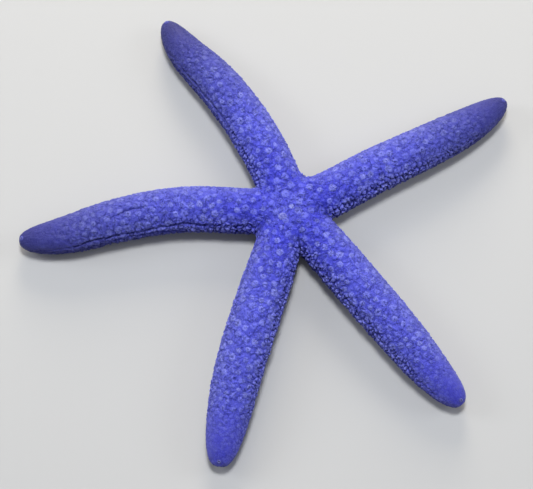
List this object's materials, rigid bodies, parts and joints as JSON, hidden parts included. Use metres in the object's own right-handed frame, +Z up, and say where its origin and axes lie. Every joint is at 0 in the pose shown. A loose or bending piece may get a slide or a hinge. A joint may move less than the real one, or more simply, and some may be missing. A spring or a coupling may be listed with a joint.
{
  "type": "blue sea star",
  "caption": "Slender sea star resting flat: small low disc, long round bent arms with blunt raised tips, grooved below.",
  "frame": {"origin": "middle of the animal's footprint box, at the level that its underside rests on", "axes": "+Z up out of the upper side of the disc; +X along the longer side of the footprint, towards the space between arms a and b; +Y towards arm e"},
  "size_m": [0.2238, 0.2124, 0.0197],
  "materials": {
    "body_skin": "satin, deep blue granular skin with paler round plates",
    "arm_tip_skin": "satin, smoother and greyer blue",
    "madreporite": "matt, pale blue, finely furrowed",
    "terminal_plate": "satin, pale blue",
    "eye_spot": "moist, orange red"
  },
  "bodies": {
    "root": {"disc": "body_skin", "madreporite": "madreporite", "arm_a_base": "body_skin", "arm_a_middle": "body_skin", "arm_a_tip": "arm_tip_skin", "arm_a_terminal_plate": "terminal_plate", "arm_a_eye": "eye_spot", "arm_b_base": "body_skin", "arm_b_middle": "body_skin", "arm_b_tip": "arm_tip_skin", "arm_b_terminal_plate": "terminal_plate", "arm_b_eye": "eye_spot", "arm_c_base": "body_skin", "arm_c_middle": "body_skin", "arm_c_tip": "arm_tip_skin", "arm_c_terminal_plate": "terminal_plate", "arm_c_eye": "eye_spot", "arm_d_base": "body_skin", "arm_d_middle": "body_skin", "arm_d_tip": "arm_tip_skin", "arm_d_terminal_plate": "terminal_plate", "arm_d_eye": "eye_spot", "arm_e_base": "body_skin", "arm_e_middle": "body_skin", "arm_e_tip": "arm_tip_skin", "arm_e_terminal_plate": "terminal_plate", "arm_e_eye": "eye_spot"}
  },
  "joints": []
}
